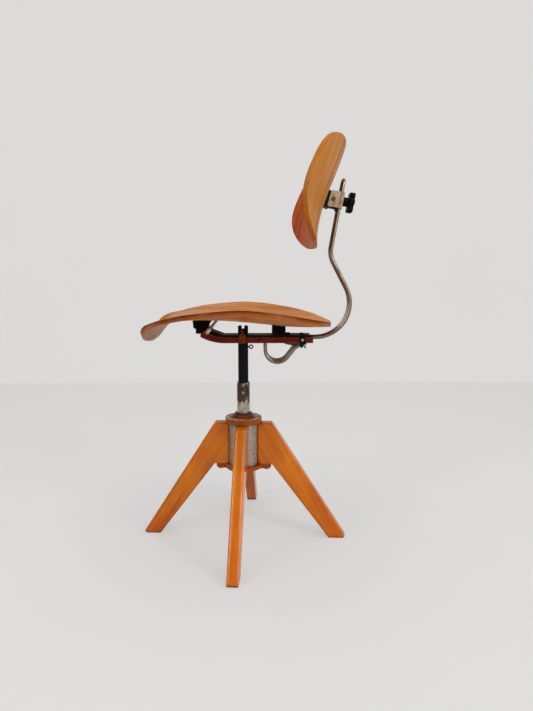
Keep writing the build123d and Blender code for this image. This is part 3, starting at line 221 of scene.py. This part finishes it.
# ---------------------------------------------------------------- wood
def figure(shade, tones, along, turns=(), shift=(0, 0, 0), depth=1.0, through=None):
    """Colour and height of wood whose fibres run along one axis: 0 for X, 1 for Y, 2 for Z.
    A peeled veneer hardly changes through its thickness, along the through axis."""
    def stretched(across, length):
        return shade.place([length if k in (along, through) else across for k in range(3)], turns, shift)

    light, mid, dark = tones
    broad = shade.noise(stretched(46, 3.2), 3, 0.5, 0.5)
    line = shade.noise(stretched(190, 4.5), 3, 0.6, 0.2)
    fibre = shade.noise(stretched(900, 26), 2, 0.6)
    fleck = shade.noise(stretched(620, 90), 1, 0.5)
    cloud = shade.noise(shade.place((9, 9, 9), turns, shift), 2, 0.5)
    colour = shade.ramp(broad, (0.25, mid), (0.42, light), (0.55, mid), (0.62, dark), (0.72, mid))
    colour = shade.tint(colour, 0.75 * depth, line, (0.34, (0.62, 0.5, 0.4)), (0.52, WHITE))
    colour = shade.tint(colour, 0.5 * depth, fibre, (0.36, (0.7, 0.6, 0.52)), (0.56, WHITE))
    colour = shade.tint(colour, 0.35 * depth, fleck, (0.27, (0.5, 0.36, 0.26)), (0.33, WHITE))
    colour = shade.tint(colour, 0.6, cloud, (0.3, (0.84, 0.76, 0.7)), (0.68, (1.06, 1.03, 1.0)))
    return colour, fibre, line


def leg_finish(name, angle):
    """Thick amber varnish over straight grain that runs down the slope of the leg."""
    shade = Shader(name, Coat_Weight=0.5, Coat_Roughness=0.12, Specular_IOR_Level=0.02)
    turns = ((0, 0, -angle), (0, LEG_SLOPE, 0))
    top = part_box("leg_1")[1][2]
    colour, fibre, line = figure(shade, LEG_TONES, 2, turns, (0.37 * angle, 0.2 * angle, 0), 0.8)
    stain = shade.noise(shade.place((260, 260, 110), turns, (angle, 0, 0)), 2, 0.4)
    near_hub = shade.step(shade.axis("Z"), *(top - depth for depth in HUB_SHADE_DEPTH))
    pool = shade.noise(shade.place((11, 11, 11), turns, (3 * angle, 0, 0)), 2, 0.5)
    near_foot = shade.step(shade.axis("Z"), *FOOT_SHADE_HEIGHT)
    edge = shade.edges(0.0026, 0.02, 0.2)
    colour = shade.tint(colour, 1, pool, (0.36, (0.93, 0.84, 0.8)), (0.64, (1.06, 1.14, 1.1)))
    # painted shade: the legs darken just under the hub
    colour = shade.cover(colour, LEG_SHADE_AT_HUB, near_hub, 0.25)
    # painted shade: the legs darken towards the floor
    colour = shade.cover(colour, LEG_SHADE_AT_FOOT, near_foot, 0.35)
    colour = shade.cover(colour, LEG_EDGES, edge, 0.85)
    colour = shade.mix(shade.ramp(stain, (0.20, 0.85), (0.235, 0.0)), colour, LEG_STAIN)
    # painted shade: darker in corners and where the legs meet other parts
    colour = shade.cover(colour, LEG_CORNER_SHADE, shade.corner_shade(0.012), 0.8)
    rounded = shade.add("Bevel", {"Radius": LEG_ROUNDING}, samples=6).outputs[0]
    shade.feed(shade.surface.inputs["Coat Normal"], rounded)
    rough = shade.ramp(line, (0.3, 0.30), (0.7, 0.2))
    return shade.finish(colour, rough, shade.bump(fibre, 0.05, 0.0002, rounded))


def plywood(name, along, upper, lower, edges, edge_figure, extra=None):
    """Lacquered plywood shell. Its layer attribute runs from 0 on the back to 1 on the front, through the
    veneers."""
    shade = Shader(name, Coat_Weight=0.03, Coat_Roughness=0.08, Specular_IOR_Level=0.03)
    layer = shade.add("Attribute", attribute_name="layer").outputs["Fac"]
    through = 3 - along
    face, fibre, line = figure(shade, upper, along, through=through)
    back, _, _ = figure(shade, lower, along, shift=(0.31, 0.17, 0.23), through=through)
    if extra:
        back = extra(shade, back)
    grain = shade.noise(shade.place((160, 160, 160)), 3, 0.6)
    wavy = shade.math("ADD", layer, shade.math("MULTIPLY", shade.math("SUBTRACT", grain, 0.5), 0.05))
    edge = shade.ramp(wavy, *edges)
    edge = shade.mix(edge_figure, edge, back)
    edge = shade.tint(edge, 0.5, grain, (0.35, (0.68, 0.58, 0.5)), (0.6, WHITE))
    on_face = shade.step(layer, 0.985, 0.999)
    on_back = shade.step(layer, 0.02, 0.001)
    colour = shade.mix(on_face, edge, face)
    colour = shade.mix(on_back, colour, back)
    # painted shade: darker in corners and where the shell meets other parts
    colour = shade.cover(colour, SHELL_CORNER_SHADE, shade.corner_shade(0.010), 0.6)
    rough = shade.ramp(line, (0.3, 0.42), (0.7, 0.30))
    return shade.finish(colour, rough, shade.bump(fibre, 0.10, 0.0003))


def lip_sheen(shade, colour):
    """Painted sheen: the underside under the rolled lip is greyed, a reflection painted into its colour."""
    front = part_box("seat_shell")[0][1]
    lip = shade.step(shade.axis("Y"), *(front + setback for setback in LIP_FROM_FRONT))
    cloud = shade.noise(shade.place((26, 26, 26)), 4, 0.6)
    tone = shade.ramp(cloud, (0.35, (0.28, 0.155, 0.09)), (0.65, (0.41, 0.25, 0.16)))
    # painted sheen: grey over the underside near the front edge
    return shade.cover(colour, tone, lip, 0.85)


# ---------------------------------------------------------------- metal, enamel and mouldings
def enamel(name, colour, worn, chip=0.66, edge=0.5, rough=0.38, shine=0.1, extra=None):
    """Brushed-on enamel, rubbed through along its edges and chipped; the oxblood edges are also painted
    highlight.
    """
    shade = Shader(name, Specular_IOR_Level=shine)
    uneven = shade.noise(shade.place((34, 34, 34)), 4, 0.6)
    chips = shade.noise(shade.place((230, 230, 230)), 5, 0.62, 0.4)
    tone = shade.tint(colour, 1, uneven, (0.3, (0.62, 0.6, 0.58)), (0.66, (1.1, 1.1, 1.1)))
    if extra:
        tone = extra(shade, tone)
    # edges rubbed through: wear, and on the oxblood rail also a painted highlight
    edge_wear_and_glint = shade.math("MULTIPLY", shade.edges(), shade.step(chips, 0.38, 0.58))
    chipped = shade.step(chips, chip, chip + 0.04)
    tone = shade.mix(shade.math("MAXIMUM", shade.math("MULTIPLY", edge_wear_and_glint, edge), chipped), tone, worn)
    # painted shade: darker in corners and beside what touches
    tone = shade.cover(tone, ENAMEL_CORNER_SHADE, shade.corner_shade(), 0.7)
    dull = shade.ramp(uneven, (0.3, rough + 0.16), (0.7, rough))
    return shade.finish(tone, dull, shade.bump(chips, 0.12, 0.0004))


def worn_top(shade, tone):
    """The flat top of the hub is worn down to dull grey and dirty brown patches."""
    top = shade.step(shade.axis("Z", "Normal"), 0.7, 0.9)
    patch = shade.noise(shade.place((85, 85, 85)), 4, 0.65, 0.6)
    worn = shade.ramp(patch, (0.36, (0.06, 0.022, 0.008)), (0.47, (0.20, 0.095, 0.045)),
                      (0.58, (0.52, 0.41, 0.32)))
    return shade.cover(tone, worn, top, 0.92)


def plate(name, colour, dull, rough=0.25, metal=1.0, scale=(60, 60, 60), corner_shade_tone=(0.05, 0.03, 0.02),
          speck=0.5, extra=None, corner_shade_reach=0.006, grit=0.15):
    """Old plated or bare steel: dull clouds, fine specks, painted shade in the corners."""
    shade = Shader(name, Metallic=metal)
    cloud = shade.noise(shade.place(scale), 5, 0.6, 0.3)
    specks = shade.noise(shade.place((640, 640, 640)), 3, 0.6)
    tone = shade.ramp(cloud, (0.32, dull), (0.62, colour))
    tone = shade.tint(tone, speck, specks, (0.38, (0.32, 0.27, 0.22)), (0.5, WHITE))
    if extra:
        tone = extra(shade, tone)
    # painted shade: darker in corners and beside what touches
    tone = shade.cover(tone, corner_shade_tone, shade.corner_shade(corner_shade_reach), 0.85)
    uneven = shade.ramp(cloud, (0.3, rough + 0.2), (0.7, rough))
    return shade.finish(tone, uneven, shade.bump(specks, grit, 0.0002))


def rust_belt(shade, tone):
    """Brown rust patches, thickest half way up the bare part of the sleeve."""
    height = shade.axis("Z")
    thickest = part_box("sleeve")[1][2] - RUST_MIDDLE
    above = shade.step(height, *(thickest - reach for reach in RUST_FADE_BELOW))
    below = shade.step(height, *(thickest + reach for reach in RUST_FADE_ABOVE))
    belt = shade.math("MULTIPLY", above, below)
    blotch = shade.noise(shade.place((110, 110, 50)), 4, 0.65, 0.8)
    mask = shade.step(shade.math("ADD", blotch, shade.math("MULTIPLY", belt, 0.30)), 0.58, 0.68)
    return shade.cover(tone, SLEEVE_RUST, mask, 0.92)


def bracket_fold(shade, tone):
    """Painted shade along the inner bend of the bracket, and a brown run below the pivot."""
    rearward = shade.add("SeparateXYZ", {"Vector": shade.place((1, 1, 1), ((ROD_LEAN, 0, 0),))}).outputs
    pivot = middle("pivot_pin")
    across = pivot.y * cos(ROD_LEAN) - pivot.z * sin(ROD_LEAN)
    crease = shade.math("ABSOLUTE", shade.math("SUBTRACT", rearward["Y"], across + CREASE_BEHIND_PIVOT))
    run = shade.math("ABSOLUTE", shade.math("SUBTRACT", rearward["Y"], across + RUN_BEHIND_PIVOT))
    below = shade.step(shade.axis("Z"), pivot.z, pivot.z - 0.004)
    # painted shade: a dark line along the bend
    tone = shade.cover(tone, CREASE_SHADE, shade.step(crease, 0.0022, 0.0008), 0.75)
    run = shade.math("MULTIPLY", shade.step(run, 0.005, 0.0015), shade.math("MULTIPLY", below, 0.6))
    return shade.mix(run, tone, PIVOT_RUN)


def black_moulding(name, rough, bump=0.2, grain=900):
    """Rubber or moulded plastic with a fine grain and a trace of dust."""
    shade = Shader(name, Specular_IOR_Level=0.03)
    grains = shade.noise(shade.place((grain, grain, grain)), 2, 0.5)
    dust = shade.noise(shade.place((45, 45, 45)), 4, 0.6)
    colour = shade.ramp(dust, (0.35, (0.003, 0.003, 0.0035)), (0.75, (0.009, 0.0085, 0.008)))
    colour = shade.cover(colour, (0.03, 0.028, 0.026), shade.edges(0.001), 0.5)
    dull = shade.ramp(dust, (0.3, rough), (0.7, rough + 0.12))
    return shade.finish(colour, dull, shade.bump(grains, bump, 0.0002))


FINISHES = {
    "seat_wood": plywood("seat_wood", 1, SEAT_TONES, UNDER_TONES, SEAT_EDGE, 0.1, lip_sheen),
    "hub_steel": plate("hub_steel", (0.48, 0.405, 0.33), (0.17, 0.125, 0.085), 0.42, 0.55, (330, 330, 260),
                       (0.045, 0.015, 0.006), 0.8, corner_shade_reach=0.016),
    "flange_lacquer": enamel("flange_lacquer", (0.36, 0.072, 0.0035), (0.09, 0.015, 0.003), 0.70, 0.7, 0.28,
                             0.1, worn_top),
    "collar_brown": enamel("collar_brown", (0.30, 0.055, 0.005), (0.05, 0.012, 0.004), 0.66, 0.8, 0.3, 0.12),
    "sleeve_steel": plate("sleeve_steel", (0.55, 0.485, 0.42), (0.26, 0.20, 0.15), 0.22, 1.0, (90, 90, 40),
                          (0.03, 0.014, 0.008), 0.5, rust_belt),
    "black_steel": enamel("black_steel", BLACK, BARE, 0.72, 0.35, 0.42, 0.07),
    # oxblood rail: its golden edge tone is partly worn paint and partly a painted highlight
    "oxblood_steel": enamel("oxblood_steel", (0.145, 0.0125, 0.0045), (0.50, 0.17, 0.016), 0.73, 1.0, 0.42,
                            0.06),
    "rod_nickel": plate("rod_nickel", (0.215, 0.165, 0.130), (0.125, 0.09, 0.068), 0.30, 1.0, (35, 35, 35),
                        (0.035, 0.02, 0.012), 0.04, grit=0.03),
    "bracket_nickel": plate("bracket_nickel", (0.32, 0.235, 0.14), (0.17, 0.11, 0.056), 0.36, 0.7,
                            (90, 90, 90), (0.07, 0.035, 0.015), 0.4, bracket_fold),
    "screw_steel": plate("screw_steel", (0.45, 0.42, 0.38), (0.26, 0.23, 0.20), 0.35),
    "brass_screw": plate("brass_screw", (0.66, 0.52, 0.20), (0.42, 0.30, 0.10), 0.3),
    "pad_rubber": black_moulding("pad_rubber", 0.62),
    "bush_bronze": plate("bush_bronze", (0.5, 0.36, 0.2), (0.3, 0.2, 0.1), 0.35),
    "knob_plastic": black_moulding("knob_plastic", 0.32, 0.08),
}
BACK_WOOD = plywood("back_wood", 2, BACK_TONES, REAR_TONES, BACK_EDGE, 0.35)
NODE_FINISHES = {
    "lock_ring": enamel("ring_black", (0.02, 0.008, 0.005), (0.14, 0.05, 0.018), 0.66, 0.8, 0.35, 0.3),
    "stud_nuts": plate("nut_nickel", (0.82, 0.70, 0.60), (0.55, 0.42, 0.34), 0.35, 0.6,
                       corner_shade_tone=(0.16, 0.09, 0.06)),
    "eye_screw": plate("eye_steel", (0.035, 0.03, 0.028), (0.015, 0.012, 0.011), 0.45, 0.5),
    "pivot_pin": plate("pin_steel", (0.10, 0.075, 0.055), (0.04, 0.026, 0.018), 0.4),
    "clamp_shoe": enamel("shoe_black", (0.012, 0.008, 0.006), (0.28, 0.14, 0.03), 0.64, 0.7, 0.42, 0.25),
}
for name in NODES:
    if name.startswith("leg_"):
        centre = middle(name)
        NODE_FINISHES[name] = leg_finish(name.replace("leg", "leg_wood"), atan2(centre.y, centre.x))

SLOTS = {entry["node"]: entry["material_slot"] for entry in frame["record"]["subparts"]}
for name, node in NODES.items():
    for index in range(len(node.material_slots)):
        node.material_slots[index].material = NODE_FINISHES.get(name) or FINISHES[SLOTS[name]]


# ---------------------------------------------------------------- moulded plywood
WELD = 1e-5
CREASE = radians(45)
OUTLINE_LENGTH = 0.5    # metres; shorter loops are screw holes


def connected(items, neighbours):
    """Groups of items that are joined through their neighbours, in an order that is the same each run."""
    left, groups = set(items), []
    for seed in items:
        if seed not in left:
            continue
        left.remove(seed)
        group, queue = [], [seed]
        while queue:
            item = queue.pop()
            group.append(item)
            for other in neighbours(item):
                if other in left:
                    left.remove(other)
                    queue.append(other)
        groups.append(group)
    return groups


def across_smooth_edges(face):
    """Faces that meet this one at less than the crease angle."""
    return [other for edge in face.edges for other in edge.link_faces if edge.calc_face_angle(0) < CREASE]


def along_corners(edge):
    """Edges that share a corner with this one."""
    return [other for vert in edge.verts for other in vert.link_edges]


def surface_tree(faces):
    """Search tree over a group of faces."""
    corners = [vert.co.copy() for face in faces for vert in face.verts]
    return BVHTree.FromPolygons(corners, [(k, k + 1, k + 2) for k in range(0, len(corners), 3)])


def plywood_shell(node, body, material, facing):
    """The shell with rounded edges and its layer attribute: 1 on the face that looks towards facing."""
    mesh = bmesh.new()
    mesh.from_mesh(NODES[node].data)
    bmesh.ops.remove_doubles(mesh, verts=mesh.verts, dist=WELD)
    bmesh.ops.triangulate(mesh, faces=mesh.faces)
    faces = connected(mesh.faces[:], across_smooth_edges)
    faces = sorted(faces, key=lambda group: -sum(face.calc_area() for face in group))[:2]
    faces.sort(key=lambda group: -sum((face.normal * face.calc_area()).dot(facing) for face in group))
    front, back = (surface_tree(group) for group in faces)
    owner = {face for group in faces for face in group}
    rim = [edge for edge in mesh.edges if len(edge.link_faces) == 2 and edge.calc_face_angle(0) > CREASE
           and sum(face in owner for face in edge.link_faces) == 1]
    loops = connected(rim, along_corners)
    chosen = [edge for loop in loops if sum(edge.calc_length() for edge in loop) > OUTLINE_LENGTH
              for edge in loop]
    bmesh.ops.bevel(mesh, geom=chosen, offset=SHELL_ROUNDING, offset_type="OFFSET", segments=3, profile=0.5,
                    affect="EDGES", clamp_overlap=True)
    data = bpy.data.meshes.new(node + "_shell")
    mesh.to_mesh(data)
    mesh.free()
    layer = data.attributes.new("layer", "FLOAT", "POINT")
    for vert, value in zip(data.vertices, layer.data):
        near_front = front.find_nearest(vert.co)[3]
        near_back = back.find_nearest(vert.co)[3]
        value.value = near_back / (near_front + near_back)
    data.shade_smooth()
    data.set_sharp_from_angle(angle=radians(50))
    data.materials.append(material)
    shell = bpy.data.objects.new(node + "_shell", data)
    bpy.context.collection.objects.link(shell)
    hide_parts(node)
    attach(shell, body)


plywood_shell("seat_shell", "seat_frame", FINISHES["seat_wood"], Vector((0, 0, 1)))
plywood_shell("backrest_panel", "backrest", BACK_WOOD, Vector((0, -1, 0)))


# ---------------------------------------------------------------- floor, wall and light
WALL_X = -1.80
REACH = 7.0
WALL_TONE = (0.722, 0.715, 0.702)
FLOOR_TONE = (0.705, 0.700, 0.690)
SKY_SHOWN = 0.715
REFLECTIONS_DIMMED = 0.6
LIT_AT = Vector((0, 0, 0.4))


def studio_plane(name, corners, tone, glow):
    """Matt plane; glow is the share of its tone that the camera sees without shadow."""
    mesh = bpy.data.meshes.new(name)
    mesh.from_pydata(corners, [], [(0, 1, 2, 3)])
    plane = bpy.data.objects.new(name, mesh)
    bpy.context.collection.objects.link(plane)
    shade = Shader(name, Roughness=0.75, Specular_IOR_Level=0.15)
    cloud = shade.noise(shade.place((1.2, 1.2, 1.2)), 2, 0.5)
    colour = shade.ramp(cloud, (0.3, tuple(part * 0.985 for part in tone)), (0.7, tone))
    shade.feed(shade.surface.inputs["Base Color"], colour)
    paths = shade.add("LightPath").outputs
    looked_at = shade.math("MAXIMUM", paths["Is Camera Ray"], paths["Is Glossy Ray"])
    seen = shade.math("MULTIPLY", looked_at, glow)
    light = shade.add("Emission", {"Color": colour, "Strength": 1.0}).outputs[0]
    blend = shade.add("MixShader", {"Fac": seen, 1: shade.surface.outputs[0], 2: light}).outputs[0]
    shade.feed(shade.tree.nodes["Material Output"].inputs["Surface"], blend)
    mesh.materials.append(shade.material)


studio_plane("floor", [(WALL_X, -REACH, 0), (REACH, -REACH, 0), (REACH, REACH, 0), (WALL_X, REACH, 0)],
             FLOOR_TONE, 0.62)
studio_plane("wall", [(WALL_X, -REACH, 0), (WALL_X, REACH, 0), (WALL_X, REACH, REACH),
                      (WALL_X, -REACH, REACH)], WALL_TONE, 0.9)


def soft_light(name, place, size, power, glossy_only=False):
    """Rectangular light in watts, aimed at the chair. A glossy_only one only shows in reflections."""
    data = bpy.data.lights.new(name, "AREA")
    data.shape = "RECTANGLE"
    data.size, data.size_y = size
    data.energy = power
    light = bpy.data.objects.new(name, data)
    light.location = place
    light.rotation_euler = (LIT_AT - Vector(place)).to_track_quat("-Z", "Y").to_euler()
    light.visible_camera = False
    light.visible_diffuse = not glossy_only
    bpy.context.collection.objects.link(light)


soft_light("gloss_left", (2.1, -1.4, 1.7), (0.5, 1.7), 60, glossy_only=True)
soft_light("gloss_right", (2.1, 1.4, 1.7), (0.5, 1.7), 70, glossy_only=True)
soft_light("ceiling", (0.4, 0, 3.2), (3.0, 3.0), 38)
soft_light("window_left", (2.0, -2.3, 1.5), (0.16, 1.7), 22)
soft_light("window_right", (2.0, 2.3, 1.5), (0.16, 1.7), 34)

# The room is brighter above and towards the back of the chair. Reflections show it dimmed, and the
# camera sees it plain.
world = bpy.data.worlds.new("studio")
bpy.context.scene.world = world
world.use_nodes = True
room = Nodes(world.node_tree)
heading = room.add("SeparateXYZ", {"Vector": room.add("TexCoord").outputs["Generated"]}).outputs
rise = room.spread(heading["Z"], (-0.2, 0.6), (0.42, 0.75))
side = room.spread(heading["Y"], (-0.8, 0.8), (0.55, 1.25))
level = room.math("MULTIPLY", rise, side)
paths = room.add("LightPath").outputs
loss = room.math("MULTIPLY", paths["Is Glossy Ray"], REFLECTIONS_DIMMED)
dimmed = room.math("MULTIPLY", level, room.math("SUBTRACT", 1.0, loss))
kept = room.math("MULTIPLY", dimmed, room.math("SUBTRACT", 1.0, paths["Is Camera Ray"]))
shown = room.math("MULTIPLY", paths["Is Camera Ray"], SKY_SHOWN)
background = world.node_tree.nodes["Background"]
room.feed(background.inputs["Strength"], room.math("ADD", kept, shown))
background.inputs["Color"].default_value = (1, 0.995, 0.98, 1)
bpy.context.scene.view_settings.view_transform = "Standard"

# ---------------------------------------------------------------- camera
CAMERA_AT = Vector((1.187, 0.0301, 0.5792))
PITCH = radians(8.13)
YAW = radians(1.0)
SENSOR_MM, LENS_MM = 36, 27.85
camera_data = bpy.data.cameras.new("camera")
camera_data.sensor_width = SENSOR_MM
camera_data.lens = LENS_MM
camera = bpy.data.objects.new("camera", camera_data)
camera.location = CAMERA_AT
line = Vector((-cos(PITCH) * cos(YAW), cos(PITCH) * sin(YAW), -sin(PITCH)))
camera.rotation_euler = line.to_track_quat("-Z", "Y").to_euler()
bpy.context.collection.objects.link(camera)
bpy.context.scene.camera = camera
